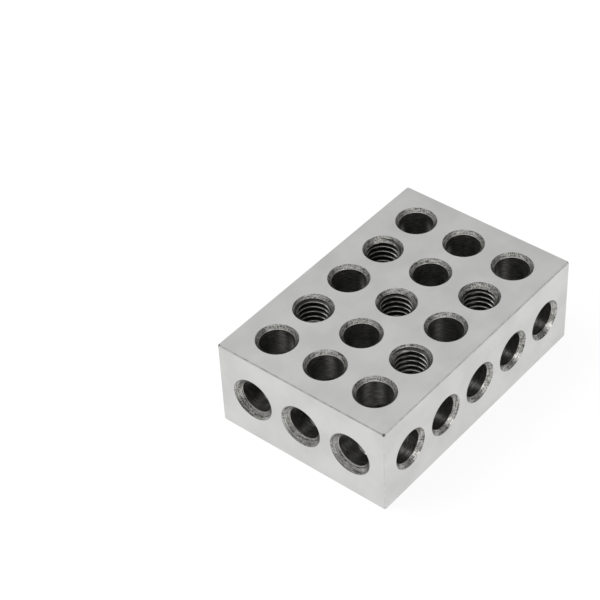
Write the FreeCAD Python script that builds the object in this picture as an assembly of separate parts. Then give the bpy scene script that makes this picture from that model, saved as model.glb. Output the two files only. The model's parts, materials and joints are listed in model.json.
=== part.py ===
import FreeCAD, Part
import math
import os

# Machinist's setup block: one piece of hardened steel, ground to 1 x 2 x 3 inches,
# with three families of through holes that meet inside it on one shared grid.
# Millimetres. Origin at the centre of the bottom face, +X along the length,
# +Y along the width, +Z up through the thickness.

# The ground block
length = 76.2
width = 50.8
height = 25.4
edge_break = 0.3  # legs of the flat stoned along each of the twelve edges
corner_break = 0.9  # how far the flat on each corner runs back along its edges

# The grid that every hole is drilled on
columns = 5  # along X
rows = 3  # along Y
end_margin = 10.1  # from an end face to the first column
side_margin = 10.4  # from a long side to the first row
column_pitch = (length - 2 * end_margin) / (columns - 1)
row_pitch = (width - 2 * side_margin) / (rows - 1)

# The holes: bores, and the mouths that they are countersunk to
plain_bore = 9.0
tapped_bore = 7.94  # across the crests of a 3/8-16 UNC thread, which isn't cut here
face_mouth = 10.85
tapped_mouth = 10.55
side_mouth = 11.2
end_mouth = 12.0
sink_angle = 90.0  # included angle of every countersink
least_land = 0.5  # flat left between two mouths, however close the grid brings them
overrun = 1.0  # how far a cutter stands out of the block

X, Y, Z = FreeCAD.Vector(1, 0, 0), FreeCAD.Vector(0, 1, 0), FreeCAD.Vector(0, 0, 1)
origin = FreeCAD.Vector(0, 0, 0)
mid_height = Z * height / 2


def from_middle(index, count):
    """How many pitches a column or row lies from the middle of the grid."""
    return index - (count - 1) / 2


def column_place(column):
    return X * from_middle(column, columns) * column_pitch


def row_place(row):
    return Y * from_middle(row, rows) * row_pitch


def is_tapped(column, row):
    """The tapped holes are the middle of the grid and the four nodes diagonally next to it."""
    return (abs(from_middle(column, columns)), abs(from_middle(row, rows))) in ((0, 0), (1, 1))


def corner_chip(side_x, side_y, side_z):
    """What the stone takes off one corner: a tetrahedron on the three edges that meet there."""
    along_edges = (X * side_x, Y * side_y, Z * side_z)
    corner = X * side_x * length / 2 + Y * side_y * width / 2 + Z * side_z * height / 2 + mid_height
    a, b, c = [corner - edge * corner_break for edge in along_edges]
    triangles = ((corner, a, b), (corner, b, c), (corner, c, a), (a, b, c))
    faces = [Part.Face(Part.makePolygon([*corners, corners[0]])) for corners in triangles]
    return Part.makeSolid(Part.makeShell(faces))


def ground_block():
    """The block before it is drilled, with its edges and corners broken."""
    block = Part.makeBox(length, width, height, X * -length / 2 + Y * -width / 2)
    block = block.makeChamfer(edge_break, block.Edges)
    ends = (-1, 1)
    return block.cut([corner_chip(x, y, z) for x in ends for y in ends for z in ends])


def fitted_mouth(mouth, *pitches):
    """The mouth as wide as it is wanted, or as the next hole along each pitch allows."""
    return min(mouth, *[pitch - least_land for pitch in pitches])


def hole_cutter(bore, mouth, run):
    """A through hole up Z from the origin, countersunk at both ends: half its section, turned.

    The countersinks carry on past the faces, so that the cutter stands out of the block.
    """
    slope = math.tan(math.radians(sink_angle / 2))
    sink_depth = (mouth - bore) / 2 / slope
    outer = mouth / 2 + overrun * slope
    section = (
        (0, -overrun),
        (outer, -overrun),
        (bore / 2, sink_depth),
        (bore / 2, run - sink_depth),
        (outer, run + overrun),
        (0, run + overrun),
        (0, -overrun),
    )
    outline = Part.makePolygon([FreeCAD.Vector(radius, 0, z) for radius, z in section])
    return Part.Face(outline).revolve(origin, Z, 360)


def face_holes():
    """Holes down through the two large faces, one at every node of the grid."""
    cutters = []
    for column in range(columns):
        for row in range(rows):
            tapped = is_tapped(column, row)
            bore, mouth = (tapped_bore, tapped_mouth) if tapped else (plain_bore, face_mouth)
            cutter = hole_cutter(bore, fitted_mouth(mouth, column_pitch, row_pitch), height)
            cutter.translate(column_place(column) + row_place(row))
            cutters.append(cutter)
    return cutters


def end_holes():
    """Holes along the whole length at mid height, one to a row."""
    cutters = []
    for row in range(rows):
        cutter = hole_cutter(plain_bore, fitted_mouth(end_mouth, row_pitch), length)
        cutter.rotate(origin, Y, 90)
        cutter.translate(X * -length / 2 + row_place(row) + mid_height)
        cutters.append(cutter)
    return cutters


def side_holes():
    """Holes across the whole width at mid height, one to a column."""
    cutters = []
    for column in range(columns):
        cutter = hole_cutter(plain_bore, fitted_mouth(side_mouth, column_pitch), width)
        cutter.rotate(origin, X, -90)
        cutter.translate(column_place(column) + Y * -width / 2 + mid_height)
        cutters.append(cutter)
    return cutters


os.makedirs("parts", exist_ok=True)
setup_block = ground_block().cut(face_holes() + end_holes() + side_holes())
setup_block.exportStep("parts/setup_block.step")
print(f"setup_block: {len(setup_block.Solids)} solid, valid {setup_block.isValid()}, "
      f"{setup_block.Volume:.1f} mm3, {len(setup_block.Faces)} faces")
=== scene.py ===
import bpy
import bmesh
import json
import math
import numpy as np
from mathutils import Matrix, Vector


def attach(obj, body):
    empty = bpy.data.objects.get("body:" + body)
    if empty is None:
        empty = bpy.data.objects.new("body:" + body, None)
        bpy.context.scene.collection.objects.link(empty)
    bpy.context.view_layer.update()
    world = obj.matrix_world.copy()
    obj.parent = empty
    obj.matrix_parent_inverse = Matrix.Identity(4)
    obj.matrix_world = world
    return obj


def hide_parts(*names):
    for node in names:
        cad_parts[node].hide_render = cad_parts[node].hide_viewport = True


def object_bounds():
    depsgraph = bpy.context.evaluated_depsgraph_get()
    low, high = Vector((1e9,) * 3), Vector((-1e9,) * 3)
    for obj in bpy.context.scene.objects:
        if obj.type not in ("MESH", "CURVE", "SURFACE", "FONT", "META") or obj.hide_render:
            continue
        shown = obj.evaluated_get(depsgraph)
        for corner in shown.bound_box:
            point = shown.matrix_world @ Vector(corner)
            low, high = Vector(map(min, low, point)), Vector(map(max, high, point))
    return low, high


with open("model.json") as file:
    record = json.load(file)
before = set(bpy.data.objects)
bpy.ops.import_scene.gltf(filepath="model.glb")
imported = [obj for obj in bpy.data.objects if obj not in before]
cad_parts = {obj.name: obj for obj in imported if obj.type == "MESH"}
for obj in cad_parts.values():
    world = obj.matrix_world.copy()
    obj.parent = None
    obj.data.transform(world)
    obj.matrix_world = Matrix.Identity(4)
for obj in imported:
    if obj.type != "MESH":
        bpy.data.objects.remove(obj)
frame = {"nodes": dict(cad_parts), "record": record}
cadLow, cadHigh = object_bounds()
mm = 0.001
print("frame loaded")


def readHoles(mounts):
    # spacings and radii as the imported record's mounts give them, in millimetres
    named = {mount["name"]: mount for mount in mounts}
    tapped = [mount for mount in mounts if mount["kind"] == "threaded_hole"]
    return {
        "columnPitch": named["face_bores_middle_row_inner"]["dims"]["spacing_x_mm"] / 2,
        "rowPitch": named["face_bores_middle_column"]["dims"]["spacing_y_mm"] / 2,
        "plainRadius": named["face_bores_corners"]["dims"]["hole_r_mm"],
        "tappedPlaces": [(mount["pos_m"][0] / mm, mount["pos_m"][1] / mm) for mount in tapped],
    }


holes = readHoles(frame["record"]["mounts"])
half = np.array(cadHigh - cadLow) / 2 / mm  # half the length, width and thickness
middle = np.array(cadHigh + cadLow) / 2 / mm
print("grid", holes["columnPitch"], "x", holes["rowPitch"], "mm")


def makeObject(name, mesh):
    made = bpy.data.objects.new(name, mesh)
    bpy.context.scene.collection.objects.link(made)
    return made


def closedCopy(node):
    # a CAD node's mesh is loose triangles: its copy's doubles are merged, so that it is one closed skin,
    # and the normals that came with it are left off, because the threads change them
    mergeWithin = 0.001 * mm
    copied = bmesh.new()
    copied.from_mesh(node.data)
    bmesh.ops.remove_doubles(copied, verts=copied.verts, dist=mergeWithin)
    mesh = bpy.data.meshes.new("joinedTriangles")
    copied.to_mesh(mesh)
    copied.free()
    if "custom_normal" in mesh.attributes:
        mesh.attributes.remove(mesh.attributes["custom_normal"])
    return mesh


def sweptGrid(points):
    # points is (steps, corners, 3): each step's corners are joined to the next step's by quads,
    # and the first and last step are closed by one face each
    steps, corners = points.shape[:2]
    step, corner = np.meshgrid(np.arange(steps - 1), np.arange(corners), indexing="ij")
    here, beside = step * corners + corner, step * corners + (corner + 1) % corners
    quads = np.stack([here, here + corners, beside + corners, beside], axis=-1).reshape(-1, 4)
    startCap = np.arange(corners)
    endCap = np.arange(corners)[::-1] + (steps - 1) * corners
    return points.reshape(-1, 3), quads.tolist() + [startCap.tolist(), endCap.tolist()]


thread = {
    "pitch": 25.4 / 16,  # 16 turns to the inch
    "rootRadius": 9.525 / 2,  # 3/8 inch over the roots
    "rootFlat": 25.4 / 16 / 8,
    "flankAngle": 30,  # each flank from square to the axis, in degrees
    "innerRadius": 3.7,  # where the cutting section ends, inside the crests
    "turnsPast": 1.5,  # run-out past each face, in turns
    "stepsPerTurn": 72,
    "firstAngles": (20, 95, 170, 245, 320),  # where each hole's thread starts, in degrees
}


def threadCutter(place, firstAngle):
    # a V section carried up a right-hand helix: at turn t it lies at angle 2 pi t and height pitch times t;
    # its half height is half the root flat, plus what the flanks open by on the way in to the axis
    run = 2 * half[2] / thread["pitch"] + 2 * thread["turnsPast"]
    turn = np.linspace(0, run, int(run * thread["stepsPerTurn"]))
    angle = 2 * math.pi * turn + math.radians(firstAngle)
    rise = (turn - thread["turnsPast"]) * thread["pitch"]
    inner, root = thread["innerRadius"], thread["rootRadius"]
    opening = (root - inner) * math.tan(math.radians(thread["flankAngle"]))
    radius = np.array([inner, root, root, inner])
    halfHeight = thread["rootFlat"] / 2 + np.array([opening, 0, 0, opening])
    points = np.stack([
        place[0] + np.cos(angle)[:, None] * radius,
        place[1] + np.sin(angle)[:, None] * radius,
        rise[:, None] + halfHeight * np.array([-1, -1, 1, 1]),
    ], axis=-1)
    return sweptGrid(points * mm)


def cutThreads(block):
    # every tapped hole's cutter goes into one mesh, and one Boolean takes them all from the block
    vertices, faces = [], []
    for place, firstAngle in zip(holes["tappedPlaces"], thread["firstAngles"]):
        points, quads = threadCutter(place, firstAngle)
        start = sum(len(part) for part in vertices)
        vertices.append(points)
        faces += [[corner + start for corner in face] for face in quads]
    mesh = bpy.data.meshes.new("threadCutters")
    mesh.from_pydata(np.concatenate(vertices).tolist(), [], faces)
    cutters = makeObject("threadCutters", mesh)
    cut = block.modifiers.new("threads", "BOOLEAN")
    cut.operation = "DIFFERENCE"
    cut.solver = "MANIFOLD"
    cut.object = cutters
    made = bpy.data.meshes.new_from_object(block.evaluated_get(bpy.context.evaluated_depsgraph_get()))
    made.materials.clear()  # the Boolean leaves an empty slot
    block.modifiers.remove(cut)
    block.data = made
    bpy.data.objects.remove(cutters)


finishes = ["surfaceGround", "stonedLongEdge", "stonedShortEdge", "stonedUprightEdge", "stonedCorner",
            "endCountersink", "sideCountersink", "faceCountersink", "tappedCountersink", "drilledBore",
            "tappedThread"]


def holesAlong(axis):
    # the holes along one axis: the two directions across them, and their pitch in each (0 for a single layer)
    columns, rows = holes["columnPitch"], holes["rowPitch"]
    return [((1, 2), (rows, 0)), ((0, 2), (columns, 0)), ((0, 1), (columns, rows))][axis]


numbering = {"column": 7, "family": 100}  # the steps that keep each hole's number its own


def offHoleAxis(points, axis):
    # where each point lies across the nearest hole along an axis, and that hole's number in the grid:
    # its count of pitches from the middle, column by column
    offsets, number = [], np.zeros(len(points))
    for direction, pitch in zip(*holesAlong(axis)):
        count = np.round(points[:, direction] / pitch) if pitch else np.zeros(len(points))
        offsets.append(points[:, direction] - count * pitch)
        number = number * numbering["column"] + count
    return np.stack(offsets, axis=-1), number


def byTappedHole(points):
    # whether the nearest hole of the upright ones is a tapped one
    nearest = np.linalg.norm(points[:, None, :2] - np.array(holes["tappedPlaces"]), axis=-1).min(axis=1)
    return nearest < holes["columnPitch"] / 2


def faceValues(mesh, name, width):
    values = np.zeros(len(mesh.polygons) * width)
    mesh.polygons.foreach_get(name, values)
    return values.reshape(-1, width)


telling = {  # lengths in millimetres, directions as cosines
    "boreSlack": 0.1,  # how far a bore's face may lie from the bore's radius
    "boreFacing": 0.98,  # how squarely it looks at its axis
    "coneFacing": 0.6,
    "coneSlack": 0.05,  # how far a cone's face may be from leaning equally in and out
    "coneDepth": 2,  # no countersink goes deeper
    "edgeLean": 0.5,  # a broken edge leans at least so far towards each face beside it
    "edgeReach": 1,  # and lies so near to them
    "edgeAlong": 0.1,  # it leans less than this along its own length
    "flatFacing": 0.999,
    "flatSlack": 0.01,
}


def sortFaces(mesh):
    # each face goes by where its middle is and which way it points: a bore's faces look straight at its axis,
    # a countersink's at 45 degrees to it, and what is left in a tapped hole is thread
    centres = faceValues(mesh, "center", 3) / mm - middle
    normals = faceValues(mesh, "normal", 3)
    lean = np.abs(normals)
    below = half - np.abs(centres)  # how far under each pair of outer faces
    finish = np.full(len(centres), finishes.index("tappedThread"))
    family = np.full(len(centres), 2)
    for axis in range(3):
        offsets, _ = offHoleAxis(centres, axis)
        distance = np.linalg.norm(offsets, axis=1)
        inward = -(normals[:, holesAlong(axis)[0]] * offsets).sum(axis=1) / distance
        boreFace = np.abs(distance - holes["plainRadius"]) < telling["boreSlack"]
        boreFace &= inward > telling["boreFacing"]
        coneFace = np.abs(inward - lean[:, axis]) < telling["coneSlack"]
        coneFace &= (inward > telling["coneFacing"]) & (below[:, axis] < telling["coneDepth"])
        if axis == 2:
            boreFace &= ~byTappedHole(centres)
        finish[boreFace] = finishes.index("drilledBore")
        finish[coneFace] = finishes.index("endCountersink") + axis
        if axis == 2:
            finish[coneFace & byTappedHole(centres)] = finishes.index("tappedCountersink")
        family[boreFace | coneFace] = axis
    broken = ((lean > telling["edgeLean"]) & (below < telling["edgeReach"])).sum(axis=1)
    along = lean < telling["edgeAlong"]
    finish[broken == 2] = finishes.index("stonedShortEdge")
    finish[(broken == 2) & along[:, 0]] = finishes.index("stonedLongEdge")
    finish[(broken == 2) & along[:, 2]] = finishes.index("stonedUprightEdge")
    finish[broken == 3] = finishes.index("stonedCorner")
    flat = (lean > telling["flatFacing"]) & (below < telling["flatSlack"])
    finish[flat.any(axis=1)] = finishes.index("surfaceGround")
    return finish, family


def tellHoles(mesh, family):
    # aroundHole: a face corner's place across its own hole and its depth below the outer face,
    # in millimetres; holeNumber: one number for each hole
    sizes = faceValues(mesh, "loop_total", 1).astype(int)[:, 0]
    corner = np.zeros(len(mesh.loops), np.int32)
    mesh.loops.foreach_get("vertex_index", corner)
    places = np.zeros(len(mesh.vertices) * 3)
    mesh.vertices.foreach_get("co", places)
    places = places.reshape(-1, 3)[corner] / mm - middle
    centres = np.repeat(faceValues(mesh, "center", 3) / mm - middle, sizes, axis=0)
    cornerFamily = np.repeat(family, sizes)
    around, numbers = np.zeros((len(corner), 3), np.float32), np.zeros(len(corner), np.float32)
    for axis in range(3):
        mine = cornerFamily == axis
        across = holesAlong(axis)[0]
        offsets, number = offHoleAxis(centres[mine], axis)
        around[mine, :2] = offsets + places[mine][:, across] - centres[mine][:, across]
        around[mine, 2] = half[axis] - np.abs(places[mine, axis])
        numbers[mine] = number + numbering["family"] * axis
    mesh.attributes.new("aroundHole", "FLOAT_VECTOR", "CORNER").data.foreach_set("vector", around.ravel())
    mesh.attributes.new("holeNumber", "FLOAT", "CORNER").data.foreach_set("value", numbers)


def linear(hexColour):
    # sRGB hex to the linear values that the shader wants
    channels = np.array([int(hexColour[i:i + 2], 16) for i in (1, 3, 5)]) / 255
    spread = np.where(channels <= 0.04045, channels / 12.92, ((channels + 0.055) / 1.055) ** 2.4)
    return (*spread.tolist(), 1.0)


def addNode(tree, kind, settings=None, links=None):
    # one node, of which the outputs are handed back: settings are its properties or its inputs' values
    node = tree.nodes.new(kind)
    for name, value in (settings or {}).items():
        if isinstance(name, str) and hasattr(node, name):
            setattr(node, name, value)
        else:
            node.inputs[name].default_value = value
    for name, output in (links or {}).items():
        tree.links.new(output, node.inputs[name])
    return node.outputs


def newMaterial(name):
    material = bpy.data.materials.new(name)
    material.use_nodes = True
    material.node_tree.nodes.clear()
    return material, material.node_tree


def finishMaterial(tree, settings, links):
    shader = addNode(tree, "ShaderNodeBsdfPrincipled", settings, links)
    addNode(tree, "ShaderNodeOutputMaterial", links={"Surface": shader[0]})


def shadeBetween(tree, factor, low, high, darkColour, lightColour):
    # the dark colour where the factor is at its low value, the light one where it is at its high value;
    # 6 and 7 are a Mix node's two colours, and 2 is the colour that comes out
    share = addNode(tree, "ShaderNodeMapRange", {"From Min": low, "From Max": high}, {"Value": factor})
    colours = {"data_type": "RGBA", 6: linear(darkColour), 7: linear(lightColour)}
    return addNode(tree, "ShaderNodeMix", colours, {0: share[0]})[2]


def inMillimetres(tree, stretch=(1, 1, 1)):
    # the point's place on the block in millimetres, divided by the stretch in each direction
    place = addNode(tree, "ShaderNodeTexCoord")["Object"]
    scale = [1 / mm / length for length in stretch]
    return addNode(tree, "ShaderNodeVectorMath", {"operation": "MULTIPLY", 1: scale}, {0: place})[0]


def holePlace(tree):
    # the point's own hole: the unit direction from its axis, the distance from it, the depth
    # and the hole's number
    place = addNode(tree, "ShaderNodeAttribute", {"attribute_name": "aroundHole"})["Vector"]
    number = addNode(tree, "ShaderNodeAttribute", {"attribute_name": "holeNumber"})["Fac"]
    split = addNode(tree, "ShaderNodeSeparateXYZ", links={0: place})
    flat = addNode(tree, "ShaderNodeCombineXYZ", links={0: split[0], 1: split[1]})[0]
    direction = addNode(tree, "ShaderNodeVectorMath", {"operation": "NORMALIZE"}, {0: flat})[0]
    radius = addNode(tree, "ShaderNodeVectorMath", {"operation": "LENGTH"}, {0: flat})["Value"]
    return {"direction": direction, "radius": radius, "depth": split[2], "number": number}


def toolMarks(tree, place, around, along):
    # a cutting tool's marks, so many millimetres long round the hole and along it: noise read at
    # the direction from the axis and at the depth, so that it closes on itself
    reach = holes["plainRadius"] / around
    turned = addNode(tree, "ShaderNodeVectorMath", {"operation": "SCALE", "Scale": reach},
                     {0: place["direction"]})[0]
    deep = addNode(tree, "ShaderNodeMath", {"operation": "DIVIDE", 1: along}, {0: place["depth"]})[0]
    lifted = addNode(tree, "ShaderNodeCombineXYZ", links={2: deep})[0]
    where = addNode(tree, "ShaderNodeVectorMath", {"operation": "ADD"}, {0: turned, 1: lifted})[0]
    noise = {"noise_dimensions": "4D", "Scale": 1.0, "Detail": 2.0, "Roughness": 0.6}
    return addNode(tree, "ShaderNodeTexNoise", noise, {"Vector": where, "W": place["number"]})[0]


ground = {
    "light": "#D3D3D2",
    "dark": "#CACAC9",
    "cloudSize": 9,  # of the soft patches that the wheel and handling leave, in millimetres
    "cloudTurns": (0.35, 0.65),  # the noise at which a patch is all dark and all light
    "lineLength": 14,  # of the grinding marks
    "lineWidth": 0.3,  # real ones are nearer 0.05 mm apart, too fine to show
    "lineDepth": 0.0015,
    "lineTurns": (0.3, 0.7),
    "roughness": (0.38, 0.46),
}


def surfaceGroundSteel():
    # hardened steel off the surface grinder: even and satin, with fine lines along the length that blur
    # what it reflects, and slow patches of lighter and darker grey
    material, tree = newMaterial("surfaceGroundSteel")
    clouds = addNode(tree, "ShaderNodeTexNoise", {"Scale": 1 / ground["cloudSize"], "Detail": 3.0},
                     {"Vector": inMillimetres(tree)})
    stretched = inMillimetres(tree, (ground["lineLength"], ground["lineWidth"], ground["lineWidth"]))
    lines = addNode(tree, "ShaderNodeTexNoise", {"Scale": 1.0, "Detail": 2.0}, {"Vector": stretched})
    colour = shadeBetween(tree, clouds[0], *ground["cloudTurns"], ground["dark"], ground["light"])
    fine, coarse = ground["lineTurns"]
    smooth, rough = ground["roughness"]
    spread = {"From Min": fine, "From Max": coarse, "To Min": smooth, "To Max": rough}
    roughness = addNode(tree, "ShaderNodeMapRange", spread, {"Value": lines[0]})
    bump = addNode(tree, "ShaderNodeBump", {"Distance": ground["lineDepth"] * mm}, {"Height": lines[0]})
    finishMaterial(tree, {"Metallic": 1.0},
                   {"Base Color": colour, "Roughness": roughness[0], "Normal": bump[0]})
    return material


# edges were broken by hand on a stone: narrow flats, duller than the ground faces and uneven in tone. Each
# family's tone is set to the light that it catches: the long edges are painted lighter than the faces, a
# painted highlight, and the short edges and the corners darker, painted shade; the upright edges keep about
# the faces' tone
# painted highlight: the long edges lighter than the ground faces
longEdgesPaintedHighlight = {"name": "stonedSteelLongEdge", "light": "#E6E6E4", "dark": "#D2D2D0", "speckSize": 1.6}
# painted shade: the short edges darker than the ground faces
shortEdgesPaintedShade = {"name": "stonedSteelShortEdge", "light": "#CDCDCB", "dark": "#B5B5B3", "speckSize": 1.6}
uprightEdges = {"name": "stonedSteelUprightEdge", "light": "#D6D6D4", "dark": "#CACAC8", "speckSize": 1.6}
# painted shade: the corners much darker than the edges beside them
corners = {"name": "stonedSteelCorner", "light": "#8A8987", "dark": "#565553", "speckSize": 0.5}
stone = {"speckTurns": (0.35, 0.65), "roughness": 0.55}


def stonedSteel(stoned):
    material, tree = newMaterial(stoned["name"])
    specks = addNode(tree, "ShaderNodeTexNoise", {"Scale": 1 / stoned["speckSize"], "Detail": 3.0},
                     {"Vector": inMillimetres(tree)})
    colour = shadeBetween(tree, specks[0], *stone["speckTurns"], stoned["dark"], stoned["light"])
    finishMaterial(tree, {"Metallic": 1.0, "Roughness": stone["roughness"]}, {"Base Color": colour})
    return material


# each family of mouths was cut by its own countersink, which left rings round the cone and chatter across it.
# Each family's tones are set darker than the ground faces' to paint in the shade of the hollow and its dark
# bore, the end mouths' darkest, as their steel mirrors the bright floor: painted shade. The bright rim where
# a plain bore begins is a painted highlight. Sizes are in millimetres, a mark's first round the hole and then
# down the cone; real marks are about 0.05 mm wide, too fine to show
# painted shade: each family's dark and light tones are set below the ground faces' tone
endMouths = {
    "name": "countersunkEndMouth", "ring": (5.0, 0.14), "chatter": (0.22, 0.25), "chatterShare": 0.5,
    "dark": "#3A3936", "light": "#C6C5C1", "depth": 0.04, "roughness": 0.38, "rim": 0.07,
}
sideMouths = {
    "name": "countersunkSideMouth", "ring": (2.5, 0.15), "chatter": (0.24, 0.6), "chatterShare": 0.5,
    "dark": "#4C4B48", "light": "#C6C5C1", "depth": 0.035, "roughness": 0.32, "rim": 0.0,
}
faceMouths = {
    "name": "countersunkFaceMouth", "ring": (1.4, 0.12), "chatter": (0.2, 0.4), "chatterShare": 0.5,
    "dark": "#42413E", "light": "#C1C0BC", "depth": 0.026, "roughness": 0.34, "rim": 0.08,
}
tappedMouths = {**faceMouths, "name": "countersunkTappedMouth", "rim": 0.0}
cutter = {"markTurns": (0.41, 0.59), "rubbedRim": "#EDECE8"}


def countersunkSteel(marks):
    # bright steel left by a countersink: rings and chatter catch the light and break it up
    material, tree = newMaterial(marks["name"])
    place = holePlace(tree)
    rings = toolMarks(tree, place, *marks["ring"])
    chatter = toolMarks(tree, place, *marks["chatter"])
    relief = addNode(tree, "ShaderNodeMix", {"Factor": marks["chatterShare"]}, {2: rings, 3: chatter})[0]
    colour = shadeBetween(tree, relief, *cutter["markTurns"], marks["dark"], marks["light"])
    # painted highlight: a bright ring on the cone where a plain bore begins
    if marks["rim"]:
        edge = holes["plainRadius"]
        rubbed = addNode(tree, "ShaderNodeMapRange", {"From Min": edge + marks["rim"], "From Max": edge},
                         {"Value": place["radius"]})
        rimColour = {"data_type": "RGBA", 7: linear(cutter["rubbedRim"])}
        colour = addNode(tree, "ShaderNodeMix", rimColour, {0: rubbed[0], 6: colour})[2]
    bump = addNode(tree, "ShaderNodeBump", {"Distance": marks["depth"] * mm}, {"Height": relief})
    finishMaterial(tree, {"Metallic": 1.0, "Roughness": marks["roughness"]},
                   {"Base Color": colour, "Normal": bump[0]})
    return material


bore = {
    "dark": "#444442",
    "light": "#7E7D7A",
    "ring": (1.6, 0.16),  # a feed mark's length round the hole and its width, in millimetres
    "ringTurns": (0.38, 0.62),
    "depth": 0.012,
    "metallic": 0.85,  # the oxide is not quite bare metal
    "roughness": 0.38,
}


def drilledBoreSteel():
    # drilled before hardening and never ground, so the walls keep the furnace's dark oxide,
    # with faint rings where the drill fed
    material, tree = newMaterial("drilledBoreOxide")
    rings = toolMarks(tree, holePlace(tree), *bore["ring"])
    colour = shadeBetween(tree, rings, *bore["ringTurns"], bore["dark"], bore["light"])
    bump = addNode(tree, "ShaderNodeBump", {"Distance": bore["depth"] * mm}, {"Height": rings})
    finishMaterial(tree, {"Metallic": bore["metallic"], "Roughness": bore["roughness"]},
                   {"Base Color": colour, "Normal": bump[0]})
    return material


tapping = {  # radii and lengths in millimetres
    # painted highlight: the dull and bright streaks on the flanks' outer edges
    "rubbed": ("#6A6966", "#F0EFEB"),  # dull and bright streaks
    "oxide": "#3E3E3C",
    "wall": "#6A6966",
    "wallTo": 3.985,  # the radius up to which it is the drill's wall between the turns
    "brightTo": 3.99,  # the radius at which the oxide begins
    "darkFrom": 4.16,  # and at which it covers the flank
    "streak": (2.4, 0.3),
    "streakTurns": (0.4, 0.6),
    "streakReach": 0.4,  # how far the streaks move the oxide's edge
    "roughness": 0.3,
}


def tappedSteel():
    # the flanks' outer edges are painted bright in streaks, a painted highlight where they catch the light
    # from above, and the furnace's oxide stays further in, in the roots and on the strip of drilled wall
    # between the turns
    material, tree = newMaterial("tappedThreadSteel")
    place = holePlace(tree)
    streaks = toolMarks(tree, place, *tapping["streak"])
    spread = tapping["streakReach"]
    uneven = addNode(tree, "ShaderNodeMath", {"operation": "MULTIPLY_ADD", 1: spread, 2: -spread / 2},
                     {0: streaks})
    reach = addNode(tree, "ShaderNodeMath", {"operation": "ADD"}, {0: place["radius"], 1: uneven[0]})
    rubbed = shadeBetween(tree, streaks, *tapping["streakTurns"], *tapping["rubbed"])
    covered = {"From Min": tapping["darkFrom"], "From Max": tapping["brightTo"]}
    bare = addNode(tree, "ShaderNodeMapRange", covered, {"Value": reach[0]})
    oxide = {"data_type": "RGBA", 6: linear(tapping["oxide"])}
    flank = addNode(tree, "ShaderNodeMix", oxide, {0: bare[0], 7: rubbed})[2]
    onWall = addNode(tree, "ShaderNodeMath", {"operation": "LESS_THAN", 1: tapping["wallTo"]},
                     {0: place["radius"]})
    wallColour = {"data_type": "RGBA", 7: linear(tapping["wall"])}
    colour = addNode(tree, "ShaderNodeMix", wallColour, {0: onWall[0], 6: flank})[2]
    finishMaterial(tree, {"Metallic": 1.0, "Roughness": tapping["roughness"]}, {"Base Color": colour})
    return material


sharpOver = 28  # degrees between two faces
block = makeObject("setup_block_steel", closedCopy(frame["nodes"]["setup_block"]))
cutThreads(block)
print("threads cut,", len(block.data.polygons), "faces")

finish, family = sortFaces(block.data)
tellHoles(block.data, family)
for material in (surfaceGroundSteel(), stonedSteel(longEdgesPaintedHighlight), stonedSteel(shortEdgesPaintedShade),
                 stonedSteel(uprightEdges), stonedSteel(corners), countersunkSteel(endMouths),
                 countersunkSteel(sideMouths), countersunkSteel(faceMouths), countersunkSteel(tappedMouths),
                 drilledBoreSteel(), tappedSteel()):
    block.data.materials.append(material)
block.data.polygons.foreach_set("material_index", finish.astype(np.int32))
block.data.polygons.foreach_set("use_smooth", np.ones(len(finish), bool))
block.data.set_sharp_from_angle(angle=math.radians(sharpOver))
block.data.update()
print({name: int((finish == i).sum()) for i, name in enumerate(finishes)})

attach(block, "root")
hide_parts("setup_block")


studio = {
    "floorSize": 6.0,  # in metres
    "floorColour": "#5E5E5E",
    "floorGlow": 0.89,
    "skyDark": 0.42,
    "skyLight": 1.06,
    "skyTurns": (0.5, 0.71),  # the sines of the elevations at which the sky goes from dark to light
    "shadeTowards": (0.49, -0.41, 0.77),  # a unit direction from the block
    "shadeTurns": (0.95, 0.8),  # the cosines of the angles from there at which the shade is full and gone
    "shadeShare": 0.6,
}


def makeFloor():
    mesh = bpy.data.meshes.new("floor")
    reach = studio["floorSize"] / 2
    corners = [(-reach, -reach, 0), (reach, -reach, 0), (reach, reach, 0), (-reach, reach, 0)]
    mesh.from_pydata(corners, [], [(0, 1, 2, 3)])
    floor = makeObject("floor", mesh)
    material, tree = newMaterial("paleFloor")
    finishMaterial(tree, {"Base Color": linear(studio["floorColour"]), "Roughness": 0.9,
                          "Specular IOR Level": 0.1, "Emission Color": (1, 1, 1, 1),
                          "Emission Strength": studio["floorGlow"]}, {})
    mesh.materials.append(material)


def makeWorld():
    # a white ceiling over darker walls, and a shade on one side
    world = bpy.data.worlds.new("studio")
    bpy.context.scene.world = world
    world.use_nodes = True
    tree = world.node_tree
    tree.nodes.clear()
    direction = addNode(tree, "ShaderNodeTexCoord")["Generated"]
    height = addNode(tree, "ShaderNodeSeparateXYZ", links={0: direction})["Z"]
    dark, light = studio["skyTurns"]
    strength = addNode(tree, "ShaderNodeMapRange", {
        "interpolation_type": "SMOOTHSTEP", "From Min": dark, "From Max": light,
        "To Min": studio["skyDark"], "To Max": studio["skyLight"]}, {"Value": height})
    facing = addNode(tree, "ShaderNodeVectorMath", {"operation": "DOT_PRODUCT", 1: studio["shadeTowards"]},
                     {0: direction})["Value"]
    full, gone = studio["shadeTurns"]
    passed = addNode(tree, "ShaderNodeMapRange", {
        "interpolation_type": "SMOOTHSTEP", "From Min": gone, "From Max": full,
        "To Min": 1.0, "To Max": 1 - studio["shadeShare"]}, {"Value": facing})
    shaded = addNode(tree, "ShaderNodeMath", {"operation": "MULTIPLY"}, {0: strength[0], 1: passed[0]})
    sky = addNode(tree, "ShaderNodeBackground", {"Color": (1, 1, 1, 1)}, {"Strength": shaded[0]})
    addNode(tree, "ShaderNodeOutputWorld", links={"Surface": sky[0]})


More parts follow.
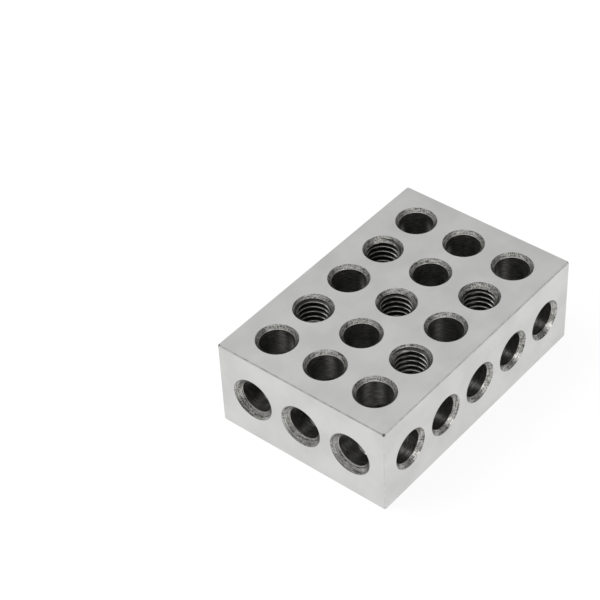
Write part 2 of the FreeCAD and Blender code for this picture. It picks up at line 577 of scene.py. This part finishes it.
def softbox(name, azimuth, elevation, distance, width, height, brightness, mirrored=True):
    # a rectangular light that faces the block from an azimuth and elevation in degrees; its power is
    # what makes its face as bright as a fully lit white surface times the brightness. One that isn't
    # mirrored lights the floor without showing in the steel.
    turned, raised = math.radians(azimuth), math.radians(elevation)
    flat = math.cos(raised)
    away = Vector((flat * math.cos(turned), flat * math.sin(turned), math.sin(raised)))
    light = bpy.data.lights.new(name, "AREA")
    light.shape = "RECTANGLE"
    light.size = width
    light.size_y = height
    light.energy = brightness * math.pi * width * height
    lamp = bpy.data.objects.new(name, light)
    bpy.context.scene.collection.objects.link(lamp)
    lamp.visible_glossy = mirrored
    lamp.location = away * distance
    lamp.rotation_euler = away.to_track_quat("Z", "Y").to_euler()


viewpoint = {
    "azimuth": 48.4,  # looking from +Y round towards +X, in degrees
    "elevation": 41.74,
    "roll": -3.21,
    "lens": 116.3,
    "distance": 478.9,  # from the point that is aimed at, in millimetres
    "aim": (-13.66, 19.57, 25.4),
    "nearest": 10,  # nothing closer than this shows, in millimetres
}


def makeCamera():
    turn = (Matrix.Rotation(-math.radians(viewpoint["azimuth"]), 4, "Z")
            @ Matrix.Rotation(math.radians(90 - viewpoint["elevation"]), 4, "X")
            @ Matrix.Rotation(math.radians(viewpoint["roll"]), 4, "Z"))
    camera = bpy.data.objects.new("camera", bpy.data.cameras.new("camera"))
    bpy.context.scene.collection.objects.link(camera)
    camera.data.lens = viewpoint["lens"]
    camera.data.clip_start = viewpoint["nearest"] * mm
    back = turn @ Vector((0, 0, viewpoint["distance"] * mm))
    camera.matrix_world = Matrix.Translation(Vector(viewpoint["aim"]) * mm + back) @ turn
    bpy.context.scene.camera = camera


makeFloor()
makeWorld()
softbox("keySoftbox", azimuth=125, elevation=50, distance=1.2, width=1.0, height=1.0, brightness=3.2,
        mirrored=False)
softbox("sideSoftbox", azimuth=-97, elevation=22, distance=0.9, width=0.4, height=0.3, brightness=2.4)
softbox("backSoftbox", azimuth=110, elevation=58, distance=1.2, width=0.35, height=0.35, brightness=2.2)
makeCamera()
bpy.context.scene.view_settings.view_transform = "Standard"
print("studio set")
